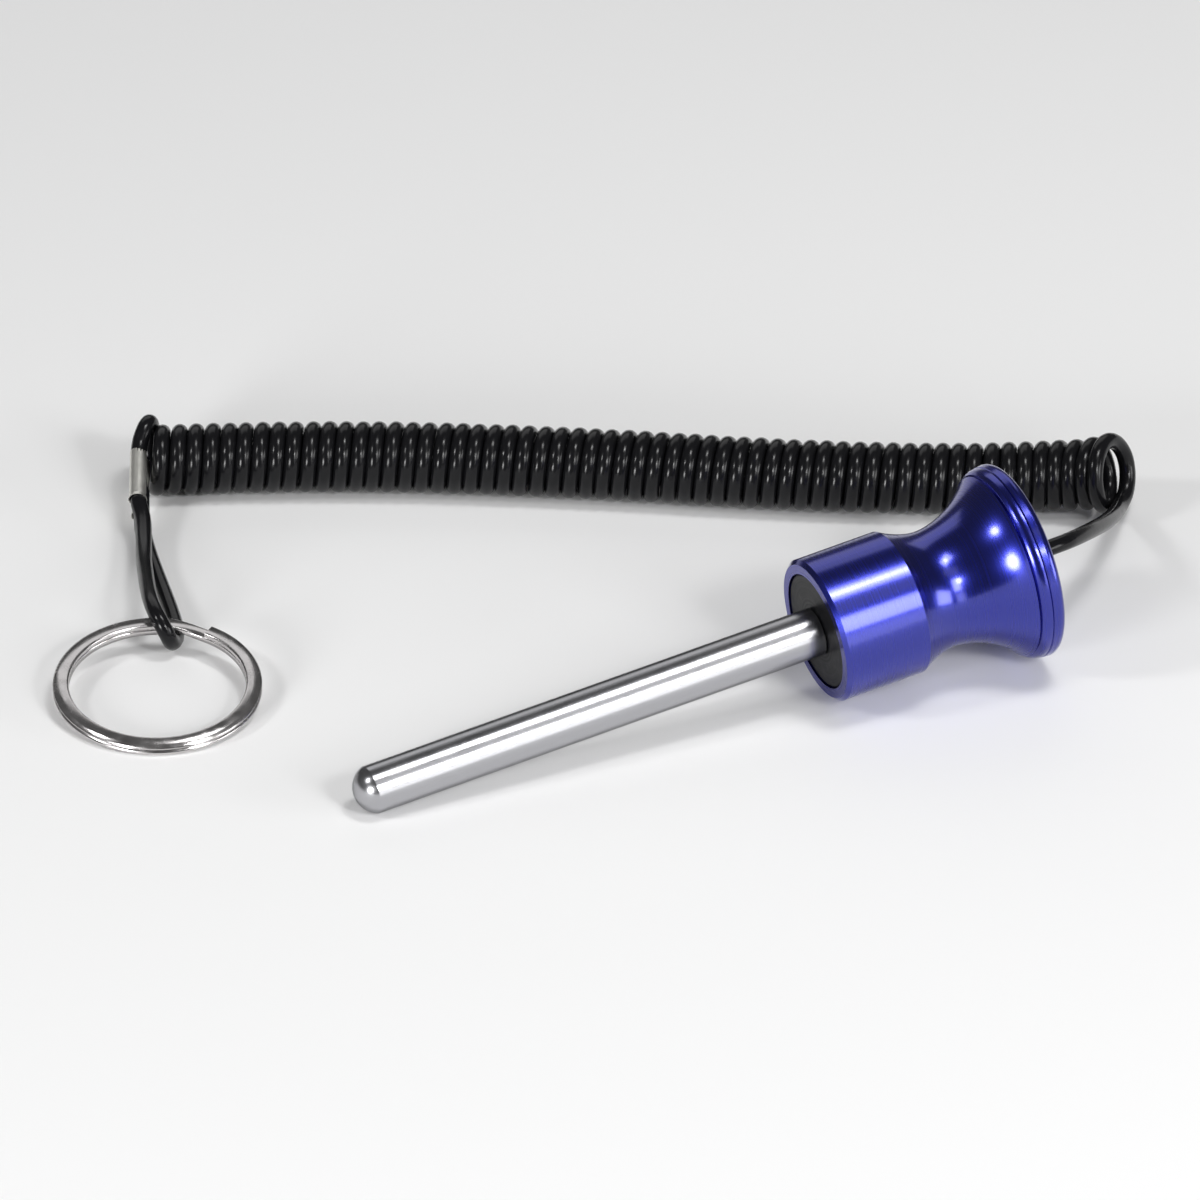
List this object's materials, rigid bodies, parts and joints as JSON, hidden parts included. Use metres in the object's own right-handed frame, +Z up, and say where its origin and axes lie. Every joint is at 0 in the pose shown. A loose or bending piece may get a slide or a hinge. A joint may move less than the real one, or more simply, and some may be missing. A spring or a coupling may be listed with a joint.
{
  "type": "weight stack pin",
  "caption": "Magnetic selector pin with a turned, waisted knob, on a coiled lanyard cord that ends in a crimped loop and a split key ring.",
  "frame": {"origin": "on the surface the part lies on, under the middle of the pin and knob", "axes": "+X towards the knob, along the pin seen from above; +Z up; the lanyard lies on the +Y side"},
  "size_m": [0.2223, 0.1493, 0.0387],
  "materials": {
    "anodised_blue": "polished, deep blue anodised",
    "magnet_black": "glossy black coating on a sintered magnet",
    "pin_steel": "polished steel",
    "crimp_metal": "bright crimped metal",
    "cord_jacket": "glossy black extruded jacket",
    "ring_steel": "bright nickel-plated steel"
  },
  "bodies": {
    "pin": {"knob": "anodised_blue", "ring_magnet": "magnet_black", "shaft": "pin_steel", "cord_stop": "crimp_metal", "cord_lead": "cord_jacket", "cord_coil": "cord_jacket", "cord_loop": "cord_jacket", "ferrule": "crimp_metal"},
    "ring": {"split_ring": "ring_steel"}
  },
  "joints": [
    {"name": "ring_swing", "type": "hinge", "parent": "pin", "child": "ring", "pos_m": [-0.08051, 0.06949, 0.0053], "axis": [0.9018, -0.4321, 0], "range_deg": [0, 150]}
  ]
}
